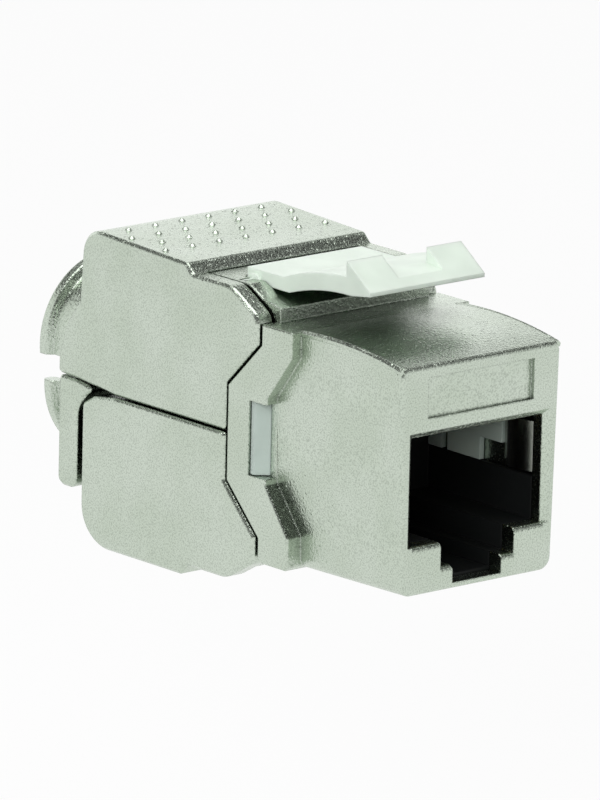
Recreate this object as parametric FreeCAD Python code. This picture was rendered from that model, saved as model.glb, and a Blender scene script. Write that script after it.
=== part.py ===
import FreeCAD, Part
import math
import os

# Shielded keystone jack with a die-cast shell, hinged wiring covers and a snap-in latch.
# Millimetres. X is across the jack, Y runs from the port face to the cable, Z is up.
# The origin is midway along the bottom edge of the port face.

V = FreeCAD.Vector

# Port face and front body
FACE_TOP_W = 14.9
FACE_BOTTOM_W = 14.1
FACE_H = 16.55
CROWN_RISE = 0.75
CROWN_FALL = 0.1
KEEL_DROP = 0.25
FACE_EDGE_R = 0.35
BODY_TOP_EDGE = 0.35
BODY_BOTTOM_R = 1.0
FRONT_WALL = 1.3
BODY_REAR = 14.05

# Plug opening: a wide main part, then two steps down for the plug's clip
PORT_HALF_W = 6.15
PORT_TOP = 11.4
PORT_SHOULDER = 3.55
STEP_HALF_W = 3.45
STEP_FLOOR = 1.75
TAB_HALF_W = 2.3
TAB_FLOOR = 0.45
PORT_BEVEL = 0.45
PORT_BEVEL_DEPTH = 0.4
STEP_ROUND = 0.45
PORT_DEPTH = 12.4

# Bare recessed panel above the plug opening
PANEL_HALF_W = 4.95
PANEL_BOTTOM = PORT_TOP + 1.35
PANEL_TOP = FACE_H - 0.85
PANEL_DEPTH = 0.3

# Side flanges, which stop the jack against the back of the panel
FLANGE_HALF_W = 8.4
FLANGE_FRONT = 10.85
FLANGE_REAR = 14.1
FLANGE_BOTTOM = -0.2
WAIST_FRONT = 13.4
WAIST_REAR = 17.65
WAIST_TOP = 11.9
WAIST_BOTTOM = 5.6
ARM_INNER_TOP = FACE_H - 1.25
ARM_INNER_BOTTOM = 2.2
ARM_OUTER_TOP = FACE_H - 0.85
ARM_OUTER_BOTTOM = 1.6
FLANGE_EDGE_R = 0.2
FLANGE_ROOT = 1.3

# Windows in the flanges, which the contact carrier's lugs snap into
WINDOW_FRONT = 14.05
WINDOW_REAR = 15.25
WINDOW_BOTTOM = 6.0
WINDOW_TOP = 11.45
WINDOW_POCKET_X = 7.3

# Chambers inside the housing
CHAMBER_HALF_W = 6.6
CHAMBER_FLOOR = 0.95
CHAMBER_TOP = 14.4
LINER_BACK = 0.4
LINER_END_GAP = 0.3
CHAMBER_REAR = PORT_DEPTH + LINER_BACK + LINER_END_GAP
TUNNEL_HALF_W = 6.3
TUNNEL_FLOOR = 2.4
PART_GAP = 0.05

# Rear block between the covers' hinge lobes, and the deck that carries the latch
MID_Z = 8.65
BLOCK_HALF_W = 6.95
BLOCK_FRONT = 13.7
BLOCK_REAR = 19.6
DECK_REAR = 21.4
DECK_TOP = 19.35
SHELF_T = 0.85
DECK_SLOPE_DEG = 8.5
EAR_T = 1.5
EAR_FOOT = 13.9
EAR_CREST = 17.2
EAR_BULGE = 0.12
HEEL_DROP = 1.6

# Fixed hook under the front body
HOOK_ROOT = 0.3
HOOK_HALF_W = 3.0
HOOK_FRONT = 4.0
HOOK_FLAT = 7.2
HOOK_REAR = 8.6
HOOK_DEPTH = 1.3

# Hinges of the two covers
HINGE_Y = 16.7
HINGE_Z = 16.6
TRUNNION_R = 0.9
TRUNNION_REACH = 0.8
HINGE_PLAY = 0.05
COVER_GAP = 0.2

# Covers
COVER_HALF_W = 8.5
LOBE_FRONT = 14.4
LOBE_CORNER_Z = 17.6
LOBE_CORNER_R = 1.1
LOBE_BROW_Y = 17.45
LOBE_BROW_R = 2.5
LEDGE_Z = 19.36
COVER_SEAM = 0.09
SEAM_STEP = 0.45
SLAB_LIP_Y = DECK_REAR + 0.3
SLAB_LIP_R = 0.45
SLAB_FRONT_Y = 22.4
SLAB_FRONT_Z = 20.05
SLAB_FRONT_R = 0.45
SLAB_REAR_Y = 33.85
SLAB_REAR_Z = 20.54
SLAB_REAR_R = 1.9
SLAB_UNDER = 19.0
SEAM_RISE = 2.5
UPPER_REAR = 34.2
LOWER_REAR = 33.7
COVER_REAR_WALL = 1.2
LOWER_SLAB = 2.85
LOWER_CORNER_R = 3.0
COVER_EDGE = 0.22
CORNER_R = 0.32
GRIP_R = 0.3
GRIP_TOP_R = 0.13
GRIP_RISE = 0.17
GRIP_PITCH = 2.5
GRIP_ROWS = 4
GRIP_ROW_PITCH = 1.88
GRIP_REAR_Y = 31.45
SHOULDER_TOP = 14.95
SHOULDER_REAR = 36.45
SHOULDER_WALL = 1.0
SHOULDER_R = 2.0

# Cable collar, in two half rings
BORE_R = 4.95
BORE_LIP = 0.3
UPPER_BORE_Z = 10.0
LOWER_BORE_Z = 7.3
RIM_R = 6.25
NECK_R = 5.75
RIM_W = 0.9
COLLAR_END = 41.5
UPPER_SLIT = 0.7
LOWER_SLIT = 1.2

# Rear saddle, which carries the lower half ring
SADDLE_INSET = 0.2
SADDLE_HALF_W = COVER_HALF_W - SADDLE_INSET
SADDLE_FRONT = 34.55
SADDLE_REAR = 36.6
SADDLE_BOTTOM = 0.85
SADDLE_TOP = 9.02
SADDLE_R = 0.7
SPIGOT_HALF_W = 5.75
SPIGOT_LENGTH = 2.9
SPIGOT_BOTTOM = 1.2
NOSE_REACH = 1.9
NOSE_DEPTH = 1.9

# Latch
LATCH_HALF_W = 5.35
LATCH_ROOT_HALF_W = 5.6
LATCH_Y = 18.4
LATCH_Z = 18.95
LATCH_PIN_R = 0.4
LATCH_BOSS_R = 0.75
LATCH_T = 1.0
LATCH_REAR = 19.3
LATCH_BEND = 15.4
LATCH_RISE = 1.35
LATCH_NOSE = 6.0
LATCH_NOSE_Z = 20.35
LATCH_NOSE_T = 0.3
CATCH_Y = 8.6
CATCH_H = 1.12
VALLEY_HALF_W = 2.1
VALLEY_DROP = 0.35
LATCH_GAP = 0.1

# Contacts
CONTACTS = 8
CONTACT_PITCH = 1.02
CONTACT_T = 0.3
CONTACT_RAIL_Z = 12.95
CONTACT_BEND_Y = 3.2
CONTACT_TIP_Y = 10.2
CONTACT_TIP_Z = 8.35
SLOT_CLEAR = 0.1

# Contact carrier and port liner
CARRIER_ROOF = 11.9
CARRIER_SIDE_FRONT = 4.6
CARRIER_SIDE_BOTTOM = 6.7
CARRIER_REAR = 17.4
SIDE_SLOT_Y = 10.4
SIDE_SLOT_W = 0.6
NOTCH_L = 2.3
NOTCH_H = 1.7
LUG_PLAY = 0.05
LUG_X = 8.2
LUG_RAMP = 0.7
KEEL_RISE = 0.2
KEEL_T = 0.25
KEEL_WALL = 0.4

# Ground springs beside the plug opening
SPRING_T = 0.15
SPRING_BOTTOM = 6.9
SPRING_TOP = 10.6
SPRING_BOW = 0.2

# Circuit board, terminals and wire manager
BOARD_T = 0.8
BOARD_MARGIN = 0.1
BLOCK_LENGTH = 5.9
TERMINALS_IN_ROW = 4
TERMINAL_PITCH = 3.1
TERMINAL_W = 2.3
TERMINAL_T = 0.4
TERMINAL_LENGTH = 5.1
TERMINAL_SLIT = 0.35
TERMINAL_SLIT_DEPTH = 3.2
TERMINAL_MOUTH = 0.5
TERMINAL_OFFSET = 3.35
WIRE_SLOT_W = 1.1
WIRE_SLOT_DEPTH = 3.6
MANAGER_HALF_W = 6.5
MANAGER_GAP = 0.3
MANAGER_REAR = 31.2
MANAGER_HALF_H = 6.4
MANAGER_BORE_R = 3.6
MANAGER_FRONT_T = 2.6
MANAGER_CORNER_R = 1.5


def wire_yz(x, steps):
    """Closed wire in the plane at x. A step is a point (y, z), or (middle, end) of an arc."""
    edges = []
    here = V(x, *steps[0])
    for step in steps[1:] + [steps[0]]:
        if isinstance(step[0], tuple):
            middle, end = V(x, *step[0]), V(x, *step[1])
            edges.append(Part.Arc(here, middle, end).toShape())
        else:
            end = V(x, *step)
            if here.distanceToPoint(end) < 1e-6:
                continue
            edges.append(Part.LineSegment(here, end).toShape())
        here = end
    return Part.Wire(edges)


def prism_x(steps, x0, x1):
    """Solid between x0 and x1 with the given outline in Y and Z."""
    return Part.Face(wire_yz(x0, steps)).extrude(V(x1 - x0, 0, 0))


def prism_y(points, y0, y1):
    """Solid between y0 and y1 with the given straight outline in X and Z."""
    ring = [V(x, y0, z) for x, z in points]
    return Part.Face(Part.makePolygon(ring + ring[:1])).extrude(V(0, y1 - y0, 0))


def block(x0, x1, y0, y1, z0, z1):
    return Part.makeBox(x1 - x0, y1 - y0, z1 - z0, V(x0, y0, z0))


def pin_x(y, z, radius, x0, x1):
    return Part.makeCylinder(radius, x1 - x0, V(x0, y, z), V(1, 0, 0))


def rounded(corners):
    """Outline steps through corners (y, z, radius), with a tangent arc at each radius."""
    steps = []
    for i, (y, z, radius) in enumerate(corners):
        here = V(0, y, z)
        before = (V(0, *corners[i - 1][:2]) - here).normalize()
        after = (V(0, *corners[(i + 1) % len(corners)][:2]) - here).normalize()
        if not radius:
            steps.append((y, z))
            continue
        half = before.getAngle(after) / 2
        start = here + before * (radius / math.tan(half))
        end = here + after * (radius / math.tan(half))
        middle = here + (before + after).normalize() * (radius / math.sin(half) - radius)
        steps += [(start.y, start.z), ((middle.y, middle.z), (end.y, end.z))]
    return steps


def mirror_x(shape):
    return shape.mirror(V(0, 0, 0), V(1, 0, 0))


def both_sides(shape):
    return [shape, mirror_x(shape)]


def mirror_z(corners):
    """The same corners turned over about the seam between the covers."""
    return [(y, 2 * MID_Z - z, radius) for y, z, radius in corners]


def round_edges(shape, radius, wanted):
    edges = [edge for edge in shape.Edges if wanted(edge)]
    return shape.makeFillet(radius, edges)


def break_edges(shape, width, wanted):
    edges = [edge for edge in shape.Edges if wanted(edge)]
    return shape.makeChamfer(width, edges)


def ribbon(points, thickness):
    """Outline of a bent strip that runs along the points."""
    left, right = [], []
    for i, (y, z) in enumerate(points):
        before = points[max(i - 1, 0)]
        after = points[min(i + 1, len(points) - 1)]
        a = math.atan2(z - before[1], y - before[0]) if i else None
        b = math.atan2(after[1] - z, after[0] - y) if i < len(points) - 1 else None
        a = b if a is None else a
        b = a if b is None else b
        turn = (b - a + math.pi) % (2 * math.pi) - math.pi
        normal = a + turn / 2 + math.pi / 2
        reach = thickness / 2 / math.cos(turn / 2)
        left.append((y + reach * math.cos(normal), z + reach * math.sin(normal)))
        right.append((y - reach * math.cos(normal), z - reach * math.sin(normal)))
    return left + right[::-1]


# Front housing

def crown_end():
    return FACE_H + CROWN_RISE - CROWN_FALL


def front_body():
    side = [
        (0, 0), (0, FACE_H),
        ((FLANGE_FRONT / 2, FACE_H + CROWN_RISE), (FLANGE_FRONT, crown_end())),
        (BODY_REAR, crown_end()), (BODY_REAR, -KEEL_DROP),
    ]
    face = [
        (-FACE_BOTTOM_W / 2, 0), (FACE_BOTTOM_W / 2, 0),
        (FACE_TOP_W / 2, FACE_H), (-FACE_TOP_W / 2, FACE_H),
    ]
    lean = (FACE_TOP_W - FACE_BOTTOM_W) / 2 / FACE_H
    face[0] = (face[0][0] + lean, -1.0)
    face[1] = (face[1][0] - lean, -1.0)
    face[2] = (face[2][0] + lean, FACE_H + 1.0)
    face[3] = (face[3][0] - lean, FACE_H + 1.0)
    wide = FLANGE_HALF_W
    body = prism_x(side, -wide, wide).common(prism_y(face, -1.0, BODY_REAR))

    def long_edge(edge, low):
        box = edge.BoundBox
        return box.YLength > BODY_REAR * 0.6 and (box.ZMax < FACE_H / 2) == low

    def face_edge(edge):
        return edge.BoundBox.YMax < 1e-6

    body = round_edges(body, BODY_BOTTOM_R, lambda edge: long_edge(edge, True))
    body = break_edges(body, BODY_TOP_EDGE, lambda edge: edge.BoundBox.YMin < 1e-6
                       and edge.BoundBox.ZMin > FACE_H - 0.1 and edge.BoundBox.YLength > 1)
    return round_edges(body, FACE_EDGE_R, face_edge)


def flange_outline():
    top = crown_end()
    return [
        (FLANGE_FRONT, FLANGE_BOTTOM + 0.3), (FLANGE_FRONT, ARM_INNER_BOTTOM),
        (WAIST_FRONT, WAIST_BOTTOM), (WAIST_FRONT, WAIST_TOP),
        (FLANGE_FRONT, ARM_INNER_TOP), (FLANGE_FRONT, top),
        (FLANGE_REAR, top), (FLANGE_REAR, ARM_OUTER_TOP),
        (WAIST_REAR, ARM_OUTER_TOP - (WAIST_REAR - FLANGE_REAR)),
        (WAIST_REAR, ARM_OUTER_BOTTOM + (WAIST_REAR - FLANGE_REAR)),
        (FLANGE_REAR, ARM_OUTER_BOTTOM), (FLANGE_REAR, 0),
        (FLANGE_REAR - 0.5, FLANGE_BOTTOM), (FLANGE_FRONT + 0.3, FLANGE_BOTTOM),
    ]


def flange():
    """Raised plate on the right side, cut away in front of the window."""
    plate = prism_x(flange_outline(), BLOCK_HALF_W - FLANGE_ROOT, FLANGE_HALF_W)
    plate = round_edges(plate, FLANGE_EDGE_R,
                        lambda edge: edge.BoundBox.XMin > FLANGE_HALF_W - 1e-3)
    return plate.cut(block(WINDOW_POCKET_X, FLANGE_HALF_W + 1, 0, WINDOW_REAR,
                           WINDOW_BOTTOM, WINDOW_TOP))


def port_outline(tab_floor=TAB_FLOOR):
    right = [
        (TAB_HALF_W, tab_floor), (TAB_HALF_W, STEP_FLOOR), (STEP_HALF_W, STEP_FLOOR),
        (STEP_HALF_W, PORT_SHOULDER), (PORT_HALF_W, PORT_SHOULDER), (PORT_HALF_W, PORT_TOP),
    ]
    return right + [(-x, z) for x, z in reversed(right)]


def port_bevel():
    rings = []
    for y, grow in ((0, PORT_BEVEL), (PORT_BEVEL_DEPTH, 0)):
        half = PORT_HALF_W + grow
        ring = [V(-half, y, PORT_SHOULDER), V(half, y, PORT_SHOULDER),
                V(half, y, PORT_TOP + grow), V(-half, y, PORT_TOP + grow)]
        rings.append(Part.makePolygon(ring + ring[:1]))
    return Part.makeLoft(rings, True, True)


def step_rounds():
    """Cutters that round the front edges of the opening's three floors."""
    rounds = []
    r = STEP_ROUND
    side = r * (1 - math.sqrt(0.5))
    for half, z in ((PORT_HALF_W, PORT_SHOULDER), (STEP_HALF_W, STEP_FLOOR)):
        rounds.append(prism_x([(0, z - r), ((side, z - side), (r, z)), (r, z + 0.1),
                               (-0.1, z + 0.1), (-0.1, z - r)], -half, half))
    return rounds


def ear():
    """Ear beside the latch, which carries a cover's hinge."""
    foot, crest = crown_end(), DECK_TOP
    bulge = ((EAR_FOOT + EAR_CREST) / 2 - EAR_BULGE, (foot + crest) / 2 + EAR_BULGE)
    return prism_x([
        (EAR_FOOT, foot - 0.5), (EAR_FOOT, foot), (bulge, (EAR_CREST, crest)),
        (BLOCK_REAR, crest), (BLOCK_REAR, foot - 0.5),
    ], BLOCK_HALF_W - EAR_T, BLOCK_HALF_W)


def rear_block():
    """Block between the hinge lobes, open through its middle, with the latch deck on top."""
    under = LATCH_Z
    drop = (LATCH_Y - BLOCK_FRONT) * math.tan(math.radians(DECK_SLOPE_DEG))
    floor = 2 * MID_Z - DECK_TOP
    low_hinge = 2 * MID_Z - HINGE_Z
    outline = [
        (BLOCK_FRONT, -KEEL_DROP), (BLOCK_FRONT, under - drop), (LATCH_Y, under),
        (LATCH_REAR + LATCH_GAP, under), (LATCH_REAR + LATCH_GAP, DECK_TOP),
        (DECK_REAR, DECK_TOP), (DECK_REAR, DECK_TOP - SHELF_T), (BLOCK_REAR, DECK_TOP - SHELF_T),
        (BLOCK_REAR, floor + SHELF_T), (DECK_REAR, floor + SHELF_T), (DECK_REAR, floor),
        (HINGE_Y + 1.9, floor), (HINGE_Y + 0.2, low_hinge - HEEL_DROP),
    ]
    solid = prism_x(outline, -BLOCK_HALF_W, BLOCK_HALF_W).fuse(both_sides(ear()))
    groove = pin_x(LATCH_Y, LATCH_Z, LATCH_BOSS_R + LATCH_GAP,
                   -LATCH_ROOT_HALF_W - LATCH_GAP, LATCH_ROOT_HALF_W + LATCH_GAP)
    pin_hole = pin_x(LATCH_Y, LATCH_Z, LATCH_PIN_R + HINGE_PLAY,
                     -BLOCK_HALF_W + 0.3, BLOCK_HALF_W - 0.3)
    holes = [groove, pin_hole]
    for z in (HINGE_Z, low_hinge):
        reach = COVER_GAP + TRUNNION_REACH
        hole = pin_x(HINGE_Y, z, TRUNNION_R + HINGE_PLAY, BLOCK_HALF_W - reach, BLOCK_HALF_W + 1)
        holes += both_sides(hole)
    return solid.cut(holes)


def hook():
    return prism_x([(HOOK_FRONT, HOOK_ROOT), (HOOK_FLAT, -HOOK_DEPTH), (HOOK_REAR, -HOOK_DEPTH),
                    (HOOK_REAR, HOOK_ROOT)], -HOOK_HALF_W, HOOK_HALF_W)


def front_housing():
    solid = front_body().fuse(both_sides(flange()) + [rear_block(), hook()])
    front_room = block(-CHAMBER_HALF_W, CHAMBER_HALF_W, FRONT_WALL, CHAMBER_REAR,
                       CHAMBER_FLOOR, CHAMBER_TOP)
    rear_room = block(-TUNNEL_HALF_W, TUNNEL_HALF_W, CHAMBER_REAR - 0.5, DECK_REAR + 1,
                      TUNNEL_FLOOR, CHAMBER_TOP)
    opening = prism_y(port_outline(), -1, FRONT_WALL + 0.5)
    keel_half = TAB_HALF_W + KEEL_WALL
    keel_way = block(-keel_half, keel_half, FRONT_WALL, CHAMBER_REAR,
                     TAB_FLOOR + KEEL_RISE - KEEL_T - PART_GAP, CHAMBER_FLOOR + 0.5)
    panel = block(-PANEL_HALF_W, PANEL_HALF_W, -1, PANEL_DEPTH, PANEL_BOTTOM, PANEL_TOP)
    window = block(BLOCK_HALF_W - FLANGE_ROOT, FLANGE_HALF_W + 1, WINDOW_FRONT, WINDOW_REAR,
                   WINDOW_BOTTOM, WINDOW_TOP)
    cuts = [front_room, rear_room, opening, port_bevel(), keel_way, panel]
    return solid.cut(cuts + step_rounds() + both_sides(window)).removeSplitter()


# Latch

def latch():
    """Sprung arm with a wide root and two catch wedges."""
    root_top = LATCH_Z + LATCH_T + 0.05
    rise_end = root_top + LATCH_RISE
    arm = [
        (LATCH_REAR, LATCH_Z + 0.15), (LATCH_REAR, root_top), (LATCH_BEND, root_top),
        ((LATCH_BEND - 3.0, root_top + 0.9), (CATCH_Y, rise_end)),
        (CATCH_Y, rise_end + CATCH_H), (LATCH_NOSE, LATCH_NOSE_Z + LATCH_NOSE_T),
        (LATCH_NOSE, LATCH_NOSE_Z), (CATCH_Y - 0.6, LATCH_NOSE_Z - 0.3),
        ((LATCH_BEND - 4.0, rise_end - 1.55), (LATCH_BEND - 0.7, LATCH_Z + 0.02)),
        (LATCH_Y, LATCH_Z + 0.02),
    ]
    solid = prism_x(arm, -LATCH_HALF_W, LATCH_HALF_W)
    valley = prism_x([
        (LATCH_NOSE - 1, rise_end - VALLEY_DROP), (CATCH_Y, rise_end),
        (CATCH_Y, rise_end + CATCH_H + 1), (LATCH_NOSE - 1, rise_end + CATCH_H + 1),
    ], -VALLEY_HALF_W, VALLEY_HALF_W)
    boss = pin_x(LATCH_Y, LATCH_Z, LATCH_BOSS_R, -LATCH_ROOT_HALF_W, LATCH_ROOT_HALF_W)
    reach = BLOCK_HALF_W - 0.4
    pins = pin_x(LATCH_Y, LATCH_Z, LATCH_PIN_R, -reach, reach)
    return solid.cut(valley).fuse([boss, pins]).removeSplitter()


# Inside the housing

def contact_places():
    first = -CONTACT_PITCH * (CONTACTS - 1) / 2
    return [first + CONTACT_PITCH * i for i in range(CONTACTS)]


def contact(x):
    path = [
        (CARRIER_REAR + PART_GAP, CONTACT_RAIL_Z), (CONTACT_BEND_Y + 0.7, CONTACT_RAIL_Z),
        (CONTACT_BEND_Y, CONTACT_RAIL_Z - 0.7), (CONTACT_BEND_Y + 0.3, CONTACT_RAIL_Z - 1.5),
        (CONTACT_TIP_Y, CONTACT_TIP_Z),
    ]
    return prism_x(ribbon(path, CONTACT_T), x - CONTACT_T / 2, x + CONTACT_T / 2)


def snap_lug(root_x):
    """Wedge that snaps into the right window, low in front and proud behind."""
    front, rear = WINDOW_FRONT + LUG_PLAY, WINDOW_REAR - LUG_PLAY
    low = WINDOW_BOTTOM + LUG_PLAY
    ring = [V(root_x, front, low), V(WINDOW_POCKET_X, front, low), V(LUG_X, front + LUG_RAMP, low),
            V(LUG_X, rear, low), V(root_x, rear, low)]
    face = Part.Face(Part.makePolygon(ring + ring[:1]))
    return face.extrude(V(0, 0, WINDOW_TOP - LUG_PLAY - low))


def contact_carrier():
    """White frame: a roof with eight grooves, two cheeks, and a rear block with side lugs."""
    wide = CHAMBER_HALF_W - PART_GAP
    top = CHAMBER_TOP - PART_GAP
    roof = block(-wide, wide, FRONT_WALL + PART_GAP, CHAMBER_REAR - PART_GAP, CARRIER_ROOF, top)
    narrow = TUNNEL_HALF_W - PART_GAP
    rear = block(-narrow, narrow, CHAMBER_REAR - 0.2, CARRIER_REAR, TUNNEL_FLOOR + PART_GAP, top)
    cheek = block(PORT_HALF_W, wide, CARRIER_SIDE_FRONT, CHAMBER_REAR - PART_GAP,
                  CARRIER_SIDE_BOTTOM, CARRIER_ROOF)
    slot = block(PORT_HALF_W - 1, wide + 1, SIDE_SLOT_Y, SIDE_SLOT_Y + SIDE_SLOT_W,
                 CARRIER_SIDE_BOTTOM, CARRIER_ROOF - 1)
    notch = block(PORT_HALF_W - 1, wide + 1, 0, CARRIER_SIDE_FRONT + NOTCH_L,
                  0, CARRIER_SIDE_BOTTOM + NOTCH_H)
    cheek = cheek.cut([slot, notch])
    lug = snap_lug(narrow - LUG_PLAY)
    solid = roof.fuse([rear] + both_sides(cheek) + both_sides(lug))
    half = CONTACT_T / 2 + SLOT_CLEAR
    grooves = [block(x - half, x + half, CONTACT_BEND_Y - 0.5, CARRIER_REAR + 1,
                     CARRIER_ROOF - 1, CONTACT_RAIL_Z + half) for x in contact_places()]
    behind = block(-narrow - 1, narrow + 1, CHAMBER_REAR + 0.1, CARRIER_REAR + 1, 0, CARRIER_ROOF)
    channels = [groove.cut(behind) for groove in grooves]
    return solid.cut(channels).removeSplitter()


def port_liner():
    """Black cup that guides the plug, below the carrier's cheeks."""
    wide = CHAMBER_HALF_W - PART_GAP
    front, end = FRONT_WALL + PART_GAP, PORT_DEPTH + LINER_BACK
    cup = block(-wide, wide, front, end, CHAMBER_FLOOR + PART_GAP, CARRIER_SIDE_BOTTOM - PART_GAP)
    back = block(-PORT_HALF_W + PART_GAP, PORT_HALF_W - PART_GAP, PORT_DEPTH, end,
                 CHAMBER_FLOOR + PART_GAP, CARRIER_ROOF - PART_GAP)
    tab_floor = TAB_FLOOR + KEEL_RISE
    keel_half = TAB_HALF_W + KEEL_WALL - PART_GAP
    keel = block(-keel_half, keel_half, front, end, tab_floor - KEEL_T, CHAMBER_FLOOR + 0.5)
    way = prism_y(port_outline(tab_floor), 0, PORT_DEPTH)
    return cup.fuse([back, keel]).cut(way).removeSplitter()


def ground_spring():
    """Bowed strip against the right wall of the port."""
    back = CHAMBER_HALF_W - PART_GAP
    y0, y1 = FRONT_WALL + PART_GAP, CARRIER_SIDE_FRONT - PART_GAP
    middle = (y0 + y1) / 2
    bow = PORT_HALF_W - SPRING_BOW
    foot = back - SPRING_T
    outer = [V(back, y0, SPRING_BOTTOM), V(bow + SPRING_T, middle, SPRING_BOTTOM),
             V(back, y1, SPRING_BOTTOM)]
    inner = [V(foot, y1, SPRING_BOTTOM), V(bow, middle, SPRING_BOTTOM),
             V(foot, y0, SPRING_BOTTOM)]
    edges = [
        Part.Arc(*outer).toShape(), Part.LineSegment(outer[2], inner[0]).toShape(),
        Part.Arc(*inner).toShape(), Part.LineSegment(inner[2], outer[0]).toShape(),
    ]
    return Part.Face(Part.Wire(edges)).extrude(V(0, 0, SPRING_TOP - SPRING_BOTTOM))


def board_front():
    return CARRIER_REAR + PART_GAP


def circuit_board():
    wide = TUNNEL_HALF_W - BOARD_MARGIN
    return block(-wide, wide, board_front(), board_front() + BOARD_T,
                 TUNNEL_FLOOR + BOARD_MARGIN, CHAMBER_TOP - BOARD_MARGIN)


def terminal_places():
    first = -TERMINAL_PITCH * (TERMINALS_IN_ROW - 1) / 2
    return [(first + TERMINAL_PITCH * i, MID_Z + side * TERMINAL_OFFSET)
            for side in (1, -1) for i in range(TERMINALS_IN_ROW)]


def idc_terminal(x, z):
    """Forked blade that cuts into one wire."""
    y0 = board_front() + BOARD_T
    y1 = y0 + TERMINAL_LENGTH
    half, slit, mouth = TERMINAL_W / 2, TERMINAL_SLIT / 2, TERMINAL_MOUTH
    outline = [
        (-half, y0), (half, y0), (half, y1 - mouth), (half - mouth / 2, y1), (slit + mouth / 2, y1),
        (slit, y1 - mouth), (slit, y1 - TERMINAL_SLIT_DEPTH), (-slit, y1 - TERMINAL_SLIT_DEPTH),
        (-slit, y1 - mouth), (-slit - mouth / 2, y1), (-half + mouth / 2, y1), (-half, y1 - mouth),
    ]
    ring = [V(x + dx, y, z - TERMINAL_T / 2) for dx, y in outline]
    return Part.Face(Part.makePolygon(ring + ring[:1])).extrude(V(0, 0, TERMINAL_T))


def idc_block():
    """Holder behind the board, with a pocket and a wire slot for each terminal."""
    y0 = board_front() + BOARD_T
    y1 = y0 + BLOCK_LENGTH
    wide = TUNNEL_HALF_W - BOARD_MARGIN
    solid = block(-wide, wide, y0, y1, TUNNEL_FLOOR + BOARD_MARGIN, CHAMBER_TOP - BOARD_MARGIN)
    cuts = []
    for x, z in terminal_places():
        half = TERMINAL_W / 2 + PART_GAP
        thick = TERMINAL_T / 2 + PART_GAP
        cuts.append(block(x - half, x + half, y0 - 1, y1 + 1, z - thick, z + thick))
        far = CHAMBER_TOP + 1 if z > MID_Z else TUNNEL_FLOOR - 1
        near = MID_Z + (1.0 if z > MID_Z else -1.0)
        cuts.append(block(x - WIRE_SLOT_W / 2, x + WIRE_SLOT_W / 2, y1 - WIRE_SLOT_DEPTH, y1 + 1,
                          min(far, near), max(far, near)))
    return solid.cut(cuts).removeSplitter()


def wire_manager():
    """Guide that fans the cable's eight wires out to the terminals."""
    y0 = board_front() + BOARD_T + BLOCK_LENGTH + MANAGER_GAP
    low, high = MID_Z - MANAGER_HALF_H, MID_Z + MANAGER_HALF_H
    solid = block(-MANAGER_HALF_W, MANAGER_HALF_W, y0, MANAGER_REAR, low, high)
    solid = round_edges(solid, MANAGER_CORNER_R, lambda edge: edge.BoundBox.YLength > 2)
    bore = Part.makeCylinder(MANAGER_BORE_R, MANAGER_REAR - y0, V(0, y0 + MANAGER_FRONT_T, MID_Z),
                             V(0, 1, 0))
    cuts = [bore]
    for x, z in terminal_places():
        far = high + 1 if z > MID_Z else low - 1
        cuts.append(block(x - WIRE_SLOT_W / 2, x + WIRE_SLOT_W / 2, y0 - 1, y0 + MANAGER_FRONT_T + 1.5,
                          min(far, MID_Z), max(far, MID_Z)))
    return solid.cut(cuts).removeSplitter()


# Covers

def lobe_corners():
    """Front of a cover's side plate, from the seam up round the hinge lobe to the front ledge."""
    front = WAIST_REAR + COVER_GAP
    slope_z = ARM_OUTER_TOP - (WAIST_REAR - FLANGE_REAR) + COVER_GAP * 0.4
    return [
        (front, slope_z, CORNER_R), (LOBE_FRONT, slope_z + front - LOBE_FRONT, CORNER_R),
        (LOBE_FRONT, LOBE_CORNER_Z, LOBE_CORNER_R), (LOBE_BROW_Y, LEDGE_Z, LOBE_BROW_R),
    ]


def side_rim(edge, half_w=COVER_HALF_W):
    """True for the outline edges of the two side faces, half_w from the middle."""
    box = edge.BoundBox
    return min(abs(box.XMin), abs(box.XMax)) > half_w - 1e-3 and box.XLength < 1e-6


def trunnions(z):
    inner = BLOCK_HALF_W + COVER_GAP
    pin = pin_x(HINGE_Y, z, TRUNNION_R, inner - TRUNNION_REACH, inner + 0.3)
    return both_sides(pin)


def half_ring(centre_z, start_y, end_y, rim_r, cut_z):
    """Half of the cable collar: neck, groove for a tie, and a flared rim."""
    neck = rim_r - (RIM_R - NECK_R)
    section = [
        (BORE_R, start_y), (neck, start_y), (neck, end_y - RIM_W - 0.4), (rim_r, end_y - RIM_W),
        (rim_r, end_y - 0.25), (rim_r - 0.25, end_y), (BORE_R + BORE_LIP, end_y),
        (BORE_R, end_y - BORE_LIP),
    ]
    ring = [V(r, y, centre_z) for r, y in section]
    face = Part.Face(Part.makePolygon(ring + ring[:1]))
    solid = face.revolve(V(0, 0, centre_z), V(0, 1, 0), 360)
    wide = rim_r + 1
    far = centre_z + wide if cut_z > MID_Z else centre_z - wide
    half = block(-wide, wide, start_y - 1, end_y + 1, min(far, cut_z), max(far, cut_z))
    return solid.common(half)


def cable_bore(centre_z, y0, open_z):
    """Round way for the cable, open up or down as far as open_z."""
    length = COLLAR_END + 1 - y0
    bore = Part.makeCylinder(BORE_R, length, V(0, y0, centre_z), V(0, 1, 0))
    slot = block(-BORE_R, BORE_R, y0, y0 + length, min(centre_z, open_z), max(centre_z, open_z))
    return bore.fuse(slot)


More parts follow.
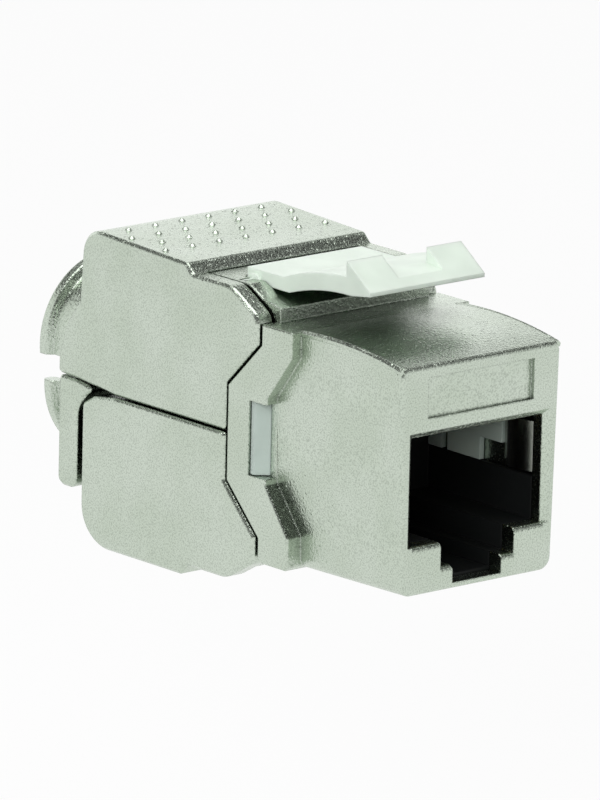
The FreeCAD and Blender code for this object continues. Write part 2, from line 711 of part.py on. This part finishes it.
def grips():
    """Rows of small eight-sided studs on the upper cover, each row staggered from the last."""
    slope = (SLAB_REAR_Z - SLAB_FRONT_Z) / (SLAB_REAR_Y - SLAB_FRONT_Y)
    studs = []
    for row in range(GRIP_ROWS):
        y = GRIP_REAR_Y - GRIP_ROW_PITCH * row
        z = SLAB_FRONT_Z + slope * (y - SLAB_FRONT_Y)
        count = 7 if row % 2 else 6
        for i in range(count):
            x = GRIP_PITCH * (i - (count - 1) / 2)
            rings = []
            for radius, rise in ((2 * GRIP_R - GRIP_TOP_R, -GRIP_RISE), (GRIP_TOP_R, GRIP_RISE)):
                turns = [math.radians(45 * (k + 0.5)) for k in range(9)]
                rings.append(Part.makePolygon([
                    V(x + radius * math.cos(turn), y + radius * math.sin(turn), z + rise)
                    for turn in turns]))
            studs.append(Part.makeLoft(rings, True, True))
    return studs


def upper_cover():
    seam = MID_Z + COVER_SEAM
    corners = [(WAIST_REAR + COVER_GAP, seam, CORNER_R)] + lobe_corners() + [
        (SLAB_LIP_Y, LEDGE_Z, SLAB_LIP_R), (SLAB_FRONT_Y, SLAB_FRONT_Z, SLAB_FRONT_R),
        (SLAB_REAR_Y, SLAB_REAR_Z, SLAB_REAR_R), (UPPER_REAR, SHOULDER_TOP, CORNER_R),
        (SHOULDER_REAR - 0.75, SHOULDER_TOP - 2.0, SHOULDER_R),
        (SHOULDER_REAR, SHOULDER_TOP - 4.5, SHOULDER_R),
        (SHOULDER_REAR, seam + SEAM_STEP + 0.05, CORNER_R),
        (SADDLE_FRONT, seam + SEAM_STEP, SHOULDER_R),
        (SADDLE_FRONT - NOSE_REACH - SEAM_RISE, seam, SHOULDER_R),
    ]
    outer = prism_x(rounded(corners), -COVER_HALF_W, COVER_HALF_W)
    outer = break_edges(outer, COVER_EDGE, side_rim)
    inner = BLOCK_HALF_W + COVER_GAP
    rear = UPPER_REAR - COVER_REAR_WALL
    room = prism_x([
        (LOBE_FRONT - 1, seam - 1), (rear, seam - 1), (rear, SLAB_UNDER - 1.5),
        (rear - 1.2, SLAB_UNDER), (SLAB_LIP_Y - 0.1, SLAB_UNDER),
        (SLAB_LIP_Y, SLAB_UNDER + 0.1), (SLAB_LIP_Y, LEDGE_Z + 1), (LOBE_FRONT - 1, LEDGE_Z + 1),
    ], -inner, inner)
    shoulder_room = block(-inner + 0.4, inner - 0.4, rear - 1, SHOULDER_REAR - SHOULDER_WALL - 0.4,
                          seam - 1, SHOULDER_TOP - 2.2)
    solid = outer.cut([room, shoulder_room])
    ring = half_ring(UPPER_BORE_Z, rear, COLLAR_END, RIM_R, MID_Z + UPPER_SLIT)
    solid = solid.fuse([ring] + trunnions(HINGE_Z) + grips())
    return solid.cut(cable_bore(UPPER_BORE_Z, rear - 1, MID_Z)).removeSplitter()


def lower_cover():
    seam = MID_Z - COVER_SEAM
    slab = -LOWER_SLAB
    low_ledge = 2 * MID_Z - LEDGE_Z
    corners = [(WAIST_REAR + COVER_GAP, seam, CORNER_R)] + mirror_z(lobe_corners()) + [
        (SLAB_LIP_Y, low_ledge, SLAB_LIP_R), (SLAB_LIP_Y + 0.7, slab, CORNER_R),
        (LOWER_REAR, slab, LOWER_CORNER_R), (LOWER_REAR, seam - 1.1, CORNER_R),
        (LOWER_REAR - 1.2, seam - 0.35, CORNER_R),
        (SADDLE_FRONT - NOSE_REACH - SEAM_RISE, seam, SHOULDER_R),
    ]
    outer = prism_x(rounded(corners), -COVER_HALF_W, COVER_HALF_W)
    outer = break_edges(outer, COVER_EDGE, side_rim)
    inner = BLOCK_HALF_W + COVER_GAP
    rear = LOWER_REAR - COVER_REAR_WALL
    under = 2 * MID_Z - SLAB_UNDER
    room = prism_x([
        (LOBE_FRONT - 1, seam + 1), (rear, seam + 1), (rear, under + 2.0),
        (rear - 2.0, under), (SLAB_LIP_Y - 0.1, under), (SLAB_LIP_Y, under - 0.1),
        (SLAB_LIP_Y, low_ledge - 1), (LOBE_FRONT - 1, low_ledge - 1),
    ], -inner, inner)
    gate = block(-SPIGOT_HALF_W, SPIGOT_HALF_W, rear - 1, LOWER_REAR + 1, SPIGOT_BOTTOM, seam + 1)
    solid = outer.cut([room, gate])
    return solid.fuse(trunnions(2 * MID_Z - HINGE_Z)).removeSplitter()


def rear_saddle():
    """Shoulder and lower half ring, with a spigot that sits in the lower cover's rear gate."""
    corners = [
        (SADDLE_FRONT, SADDLE_BOTTOM, SADDLE_R), (SADDLE_REAR, SADDLE_BOTTOM, SADDLE_R),
        (SADDLE_REAR, SADDLE_TOP, CORNER_R), (SADDLE_FRONT, SADDLE_TOP, SHOULDER_R),
        (SADDLE_FRONT - NOSE_REACH, SADDLE_TOP - 0.3, CORNER_R),
        (SADDLE_FRONT, SADDLE_TOP - NOSE_DEPTH, SHOULDER_R),
    ]
    shoulder = prism_x(rounded(corners), -SADDLE_HALF_W, SADDLE_HALF_W)
    shoulder = break_edges(shoulder, COVER_EDGE, lambda edge: side_rim(edge, SADDLE_HALF_W))
    spigot = block(-SPIGOT_HALF_W, SPIGOT_HALF_W, SADDLE_FRONT - SPIGOT_LENGTH, SADDLE_FRONT + 0.1,
                   SPIGOT_BOTTOM, MID_Z - UPPER_SLIT)
    ring = half_ring(LOWER_BORE_Z, SADDLE_REAR - SADDLE_R, COLLAR_END - 0.4, RIM_R - 0.15,
                     MID_Z - LOWER_SLIT)
    way = cable_bore(LOWER_BORE_Z, SADDLE_FRONT - SPIGOT_LENGTH - 1, SADDLE_TOP + 1)
    return shoulder.fuse([spigot, ring]).cut(way).removeSplitter()


def nodes():
    parts = {
        "front_housing": front_housing(),
        "latch": latch(),
        "port_liner": port_liner(),
        "contact_carrier": contact_carrier(),
        "circuit_board": circuit_board(),
        "idc_block": idc_block(),
        "wire_manager": wire_manager(),
        "upper_cover": upper_cover(),
        "lower_cover": lower_cover(),
        "rear_saddle": rear_saddle(),
        "ground_spring_right": ground_spring(),
        "ground_spring_left": mirror_x(ground_spring()),
    }
    for number, x in enumerate(contact_places(), 1):
        parts["contact_%d" % number] = contact(x)
    for number, (x, z) in enumerate(terminal_places(), 1):
        parts["idc_terminal_%d" % number] = idc_terminal(x, z)
    return parts


os.makedirs("parts", exist_ok=True)
for name, shape in nodes().items():
    print(name, len(shape.Solids), "solids", round(shape.Volume, 3), "mm3", shape.isValid())
    shape.exportStep("parts/" + name + ".step")
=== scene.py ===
"""Keystone jack: finishes, small details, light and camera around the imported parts."""
import math

import bmesh
import bpy
from mathutils import Matrix, Vector


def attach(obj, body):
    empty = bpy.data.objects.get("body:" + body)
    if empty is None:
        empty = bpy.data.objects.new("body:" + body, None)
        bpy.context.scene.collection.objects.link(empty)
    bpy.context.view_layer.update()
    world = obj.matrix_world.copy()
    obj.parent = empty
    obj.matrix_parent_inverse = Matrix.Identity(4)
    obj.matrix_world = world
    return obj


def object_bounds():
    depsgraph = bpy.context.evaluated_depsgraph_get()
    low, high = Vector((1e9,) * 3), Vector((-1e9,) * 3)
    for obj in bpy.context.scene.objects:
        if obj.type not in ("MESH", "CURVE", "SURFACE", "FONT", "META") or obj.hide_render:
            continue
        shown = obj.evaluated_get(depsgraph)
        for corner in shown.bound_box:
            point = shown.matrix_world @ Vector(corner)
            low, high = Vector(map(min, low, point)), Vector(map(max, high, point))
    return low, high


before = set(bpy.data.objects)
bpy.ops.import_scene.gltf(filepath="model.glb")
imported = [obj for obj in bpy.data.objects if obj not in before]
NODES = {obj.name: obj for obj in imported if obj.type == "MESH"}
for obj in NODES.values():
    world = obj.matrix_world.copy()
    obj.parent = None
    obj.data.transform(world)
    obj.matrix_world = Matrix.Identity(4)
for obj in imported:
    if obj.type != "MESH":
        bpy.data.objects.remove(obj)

MM = 0.001
CAD_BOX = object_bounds()


# Shader expressions

class Socket:
    """A shader value that Python's operators turn into Math nodes."""

    def __init__(self, recipe, link):
        self.recipe = recipe
        self.link = link

    def _math(self, operation, *values):
        return self.recipe.node("ShaderNodeMath", {"operation": operation}, list(values))

    def __add__(self, other):
        return self._math("ADD", self, other)

    def __sub__(self, other):
        return self._math("SUBTRACT", self, other)

    def __rsub__(self, other):
        return self._math("SUBTRACT", other, self)

    def __mul__(self, other):
        return self._math("MULTIPLY", self, other)

    __radd__ = __add__
    __rmul__ = __mul__

    def dot(self, direction):
        """How far a vector points along a direction."""
        inputs = [self, direction]
        return self.recipe.node("ShaderNodeVectorMath", {"operation": "DOT_PRODUCT"}, inputs, "Value")

    def step(self, low, high):
        """0 below low, 1 above high, smooth between them."""
        settings = {"interpolation_type": "SMOOTHSTEP"}
        inputs = {"Value": self, "From Min": low, "From Max": high}
        return self.recipe.node("ShaderNodeMapRange", settings, inputs)


class Recipe:
    """The node tree of one material, or of the world."""

    def __init__(self, owner):
        owner.use_nodes = True
        self.owner = owner
        self.tree = owner.node_tree
        self.tree.nodes.clear()

    def node(self, kind, settings, inputs, output=0):
        """Adds a node, sets it up, fills its sockets and returns one of its outputs."""
        made = self.tree.nodes.new(kind)
        for key, value in settings.items():
            setattr(made, key, value)
        pairs = inputs.items() if isinstance(inputs, dict) else enumerate(inputs)
        for key, value in pairs:
            if isinstance(value, Socket):
                self.tree.links.new(value.link, made.inputs[key])
            else:
                made.inputs[key].default_value = value
        return Socket(self, made.outputs[output]) if made.outputs else None

    def place(self):
        return self.node("ShaderNodeTexCoord", {}, {}, "Object")

    def noise(self, size, detail=2.0, roughness=0.5):
        """Cloudy value whose features are about size metres across."""
        inputs = {"Vector": self.place(), "Scale": 1 / size, "Detail": detail, "Roughness": roughness}
        return self.node("ShaderNodeTexNoise", {}, inputs, "Fac")

    def cells(self, size):
        """Distance to the nearest of many scattered points, in cells of that size."""
        inputs = {"Vector": self.place(), "Scale": 1 / size}
        return self.node("ShaderNodeTexVoronoi", {}, inputs, "Distance")

    def mix(self, amount, first, second):
        """Blend of two colours."""
        made = self.tree.nodes.new("ShaderNodeMix")
        made.data_type = "RGBA"
        factor, colour_a, colour_b = made.inputs[0], made.inputs[6], made.inputs[7]
        for socket, value in ((factor, amount), (colour_a, first), (colour_b, second)):
            if isinstance(value, Socket):
                self.tree.links.new(value.link, socket)
            else:
                socket.default_value = value
        return Socket(self, made.outputs[2])

    def ray(self, kind):
        """1 for the rays of that kind: camera, diffuse, glossy or transmission."""
        return self.node("ShaderNodeLightPath", {}, {}, "Is %s Ray" % kind.capitalize())

    def rounded(self, radius):
        """Surface direction, with every edge rounded to that radius."""
        return self.node("ShaderNodeBevel", {"samples": 6}, {"Radius": radius})

    def hollows(self, reach):
        """0 in the open, rising to 1 deep in a recess or a corner, from ambient occlusion; the zinc
        uses it as painted shade.
        """
        return 1 - self.node("ShaderNodeAmbientOcclusion", {"samples": 4}, {"Distance": reach}, "AO")

    def edges(self, rim):
        """1 beside an edge and 0 away from it, from the surface direction with rounded edges."""
        flat = self.node("ShaderNodeNewGeometry", {}, {}, "True Normal")
        return 1 - flat.dot(rim).step(0.88, 0.995)

    def bump(self, height, depth, rim):
        """Normal with that relief, in metres, over the surface direction with rounded edges."""
        inputs = {"Height": height, "Distance": depth, "Strength": 1.0, "Normal": rim}
        return self.node("ShaderNodeBump", {}, inputs)

    def finish(self, inputs):
        shader = self.node("ShaderNodeBsdfPrincipled", {}, inputs)
        self.node("ShaderNodeOutputMaterial", {}, {"Surface": shader})
        return self.owner


def paint(name):
    return Recipe(bpy.data.materials.new(name))


def rgb(red, green, blue):
    return (red, green, blue, 1.0)


WHITE = rgb(1.0, 1.0, 1.0)


# Finishes

def plated_zinc(name, edge_radius):
    """Satin nickel over die-cast zinc: grain, pits and nodules, coarser on edges, and painted shade
    that darkens it in recesses, corners and under other parts.
    """
    r = paint(name)
    grain = r.noise(0.2 * MM)
    fine = r.noise(0.12 * MM)
    cloud = r.noise(5 * MM)
    patches = r.noise(0.8 * MM, 1.0).step(0.4, 0.6)
    nodules = (1 - r.cells(0.3 * MM).step(0.05, 0.42)) * patches
    rim = r.rounded(edge_radius)
    edge = r.edges(rim)
    tint = r.mix(cloud.step(0.3, 0.7), rgb(0.555, 0.63, 0.53), rgb(0.605, 0.675, 0.585))
    pits = 1 - fine.step(0.34, 0.56)
    # Pits from fine noise, plus painted shade: ambient occlusion darkens the zinc in recesses, corners
    # and under other parts towards the dark colour below.
    darker = pits * 0.3 + r.hollows(6 * MM).step(0.42, 0.78) * 0.8
    height = grain * (0.25 + edge * 0.4) + nodules * (0.14 + edge * 0.22)
    return r.finish({
        "Base Color": r.mix(darker, tint, rgb(0.12, 0.14, 0.115)),
        "Metallic": 1.0,
        "Roughness": 0.22 + fine * 0.08 - edge * 0.12,
        "Normal": r.bump(height, 0.12 * MM, rim),
    })


def moulded(name, colour, rough, soft=0.0, shine=0.5):
    """Moulded plastic with a faint spark-eroded grain."""
    r = paint(name)
    grain = r.noise(0.12 * MM)
    cloud = r.noise(3 * MM)
    darker = rgb(*[c * 0.93 for c in colour])
    inputs = {
        "Base Color": r.mix(cloud.step(0.35, 0.65), rgb(*colour), darker),
        "Roughness": rough + grain * 0.12,
        "Specular IOR Level": shine,
        "Normal": r.bump(grain, 0.003 * MM, r.rounded(0.12 * MM)),
    }
    if soft:
        inputs["Subsurface Weight"] = soft
        inputs["Subsurface Radius"] = (1.0, 1.0, 1.0)
        inputs["Subsurface Scale"] = 0.6 * MM
    return r.finish(inputs)


def plated(name, colour, rough):
    """Thin strip metal with a fine rolled grain."""
    r = paint(name)
    grain = r.noise(0.1 * MM, 3.0)
    worn = r.noise(0.8 * MM)
    darker = rgb(*[c * 0.85 for c in colour])
    return r.finish({
        "Base Color": r.mix(worn.step(0.4, 0.7), rgb(*colour), darker),
        "Metallic": 1.0,
        "Roughness": rough + grain * 0.15,
        "Normal": r.bump(grain, 0.002 * MM, r.rounded(0.04 * MM)),
    })


def dress(names, material):
    """Gives those nodes their finish."""
    for name in names:
        for slot in NODES[name].material_slots:
            slot.material = material


def eight(name):
    return ["%s_%d" % (name, i) for i in range(1, 9)]


dress(["front_housing", "upper_cover", "lower_cover", "rear_saddle"],
      plated_zinc("plated_zinc", 0.2 * MM))
dress(["latch"], moulded("latch_plastic", (0.80, 0.90, 0.80), 0.34, 0.4))
dress(["contact_carrier", "wire_manager"], moulded("pale_plastic", (0.60, 0.70, 0.645), 0.38, 0.2))
dress(["port_liner", "idc_block"], moulded("black_plastic", (0.008, 0.009, 0.009), 0.42, shine=0.25))
dress(["circuit_board"], moulded("board_laminate", (0.03, 0.16, 0.07), 0.25))
dress(eight("contact"), plated("gold_plate", (0.83, 0.62, 0.27), 0.16))
dress(eight("idc_terminal"), plated("tin_plate", (0.62, 0.61, 0.58), 0.3))
dress(["ground_spring_left", "ground_spring_right"], plated("spring_strip", (0.42, 0.43, 0.4), 0.15))


# Worn edge of the front body

BODY_HALF_W = 7.45 * MM
CROWN_TOP = 17.37 * MM      # height of the crown where it is highest
CROWN_MIDDLE = 7.7 * MM     # how far that is behind the port's face
CROWN_R = 36.2 * MM
EDGE_FRONT, EDGE_REAR = 0.15 * MM, 11.0 * MM
EDGE_STEPS = 24
# Corners of the strip, in mm inwards from the body's side and upwards from its crown
EDGE_PROFILE = ((0.02, -0.42), (-0.05, -0.17), (0.15, 0.04), (0.42, -0.03), (0.3, -0.35))


def crown(y):
    return CROWN_TOP - (y - CROWN_MIDDLE) ** 2 / (2 * CROWN_R)


def body_edge(name, side, material):
    """Narrow slanted strip along the long top edge of the front body, where side and crown meet."""
    mesh = bmesh.new()
    rings = []
    for step in range(EDGE_STEPS + 1):
        y = EDGE_FRONT + (EDGE_REAR - EDGE_FRONT) * step / EDGE_STEPS
        rings.append([mesh.verts.new((side * (BODY_HALF_W - inward * MM), y, crown(y) + up * MM))
                      for inward, up in EDGE_PROFILE])
    count = len(EDGE_PROFILE)
    for near, far in zip(rings, rings[1:]):
        for i in range(count):
            j = (i + 1) % count
            mesh.faces.new((near[i], near[j], far[j], far[i]))
    mesh.faces.new(rings[0])
    mesh.faces.new(rings[-1][::-1])
    bmesh.ops.recalc_face_normals(mesh, faces=mesh.faces)
    data = bpy.data.meshes.new(name)
    mesh.to_mesh(data)
    mesh.free()
    data.materials.append(material)
    strip = bpy.data.objects.new(name, data)
    bpy.context.collection.objects.link(strip)
    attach(strip, "housing")


edge_zinc = plated_zinc("plated_zinc_edge", 0.03 * MM)
body_edge("body_edge_left", -1, edge_zinc)
body_edge("body_edge_right", 1, edge_zinc)


# Floor, light and camera

SWING_ROOM = 28 * MM    # the lower cover opens downwards, so the jack is held clear of the floor
CAMERA_TURN, CAMERA_RISE, CAMERA_ROLL = 41.15, 14.24, 1.37    # degrees
CAMERA_AIM = Vector((0, 14 * MM, 9 * MM))
CAMERA_DISTANCE = 0.8
CAMERA_LENS, SENSOR_WIDTH = 505.4, 36.0
CAMERA_SHIFT = (-0.0622, 0.0256)
LAMP_AIM = (0, 0.02, 0.01)


def floor():
    """Plain pale floor that the camera and mirrors see as white, with the jack's faint shadow."""
    place = (0, 0, CAD_BOX[0][2] - SWING_ROOM)
    bpy.ops.mesh.primitive_plane_add(size=6.0, location=place)
    plane = bpy.context.object
    plane.name = "floor"
    r = paint("floor_white")
    lit = r.node("ShaderNodeBsdfPrincipled", {}, {
        "Base Color": r.mix(r.ray("diffuse"), rgb(0.9, 0.9, 0.9), rgb(0.1, 0.1, 0.1)),
        "Roughness": 0.75 + r.noise(4 * MM) * 0.05,
        "Specular IOR Level": 0.1,
    })
    glow = r.node("ShaderNodeEmission", {}, {"Color": WHITE, "Strength": 1.0})
    seen = (r.ray("camera") + r.ray("glossy") + r.ray("transmission")) * 0.85
    mixed = r.node("ShaderNodeMixShader", {}, [seen, lit, glow])
    r.node("ShaderNodeOutputMaterial", {}, {"Surface": mixed})
    plane.data.materials.append(r.owner)


def sky():
    """Plain white room. Metal mirrors a dark band round it, a bright ceiling and a dark front."""
    world = bpy.data.worlds.new("studio")
    bpy.context.scene.world = world
    r = Recipe(world)
    way = r.node("ShaderNodeTexCoord", {}, {}, "Generated")
    height = r.node("ShaderNodeSeparateXYZ", {}, [way], "Z")
    band = height.step(0.53, 0.58) * (1 - height.step(0.8, 0.88))
    ceiling = height.step(0.84, 0.93)
    rear = way.dot((0.6, 0.8, 0.0)).step(0.3, 0.8) * 0.2
    walls = height.step(0.12, 0.24) * (1 - band) * (1 - ceiling)
    front = way.dot((-0.3, -0.95, 0.0)).step(0.3, 0.55) * walls
    mirrored = 1 + rear - band * (rear + 0.97) - front * 0.85 + ceiling * 2.0
    cast = 0.12 + height.step(0.0, 0.6) * 0.72
    glossy = r.ray("glossy")
    seen = r.ray("camera") + r.ray("transmission")
    room = mirrored * glossy + cast * (1 - glossy)
    strength = seen + room * (1 - seen)
    light = r.node("ShaderNodeBackground", {}, {"Color": WHITE, "Strength": strength})
    r.node("ShaderNodeOutputWorld", {}, {"Surface": light})


def lamp(name, place, side, watts, mirrored=True):
    """Square soft box of that side, aimed at the jack. Metal mirrors it or not."""
    data = bpy.data.lights.new(name, "AREA")
    data.shape = "RECTANGLE"
    data.size = data.size_y = side
    data.energy = watts
    box = bpy.data.objects.new(name, data)
    bpy.context.collection.objects.link(box)
    box.location = place
    box.rotation_euler = (Vector(LAMP_AIM) - Vector(place)).to_track_quat("-Z", "Y").to_euler()
    box.visible_glossy = mirrored


def camera():
    turn, rise, roll = [math.radians(a) for a in (CAMERA_TURN, CAMERA_RISE, CAMERA_ROLL)]
    back = Vector((-math.sin(turn) * math.cos(rise), -math.cos(turn) * math.cos(rise), math.sin(rise)))
    right = Vector((math.cos(turn), -math.sin(turn), 0))
    up = back.cross(right)
    right, up = (right * math.cos(roll) + up * math.sin(roll),
                 up * math.cos(roll) - right * math.sin(roll))
    place = CAMERA_AIM + back * CAMERA_DISTANCE
    data = bpy.data.cameras.new("camera")
    data.lens = CAMERA_LENS
    data.sensor_width = SENSOR_WIDTH
    data.clip_start, data.clip_end = 0.05, 20.0
    data.shift_x, data.shift_y = CAMERA_SHIFT
    view = bpy.data.objects.new("camera", data)
    bpy.context.collection.objects.link(view)
    view.matrix_world = Matrix((
        (right.x, up.x, back.x, place.x),
        (right.y, up.y, back.y, place.y),
        (right.z, up.z, back.z, place.z),
        (0, 0, 0, 1)))
    bpy.context.scene.camera = view


floor()
sky()
lamp("top_box", (-0.15, 0.05, 0.55), 0.35, 0.4)
lamp("side_box", (-0.45, -0.25, 0.2), 0.3, 1.5, mirrored=False)
camera()
bpy.context.scene.view_settings.view_transform = "Standard"
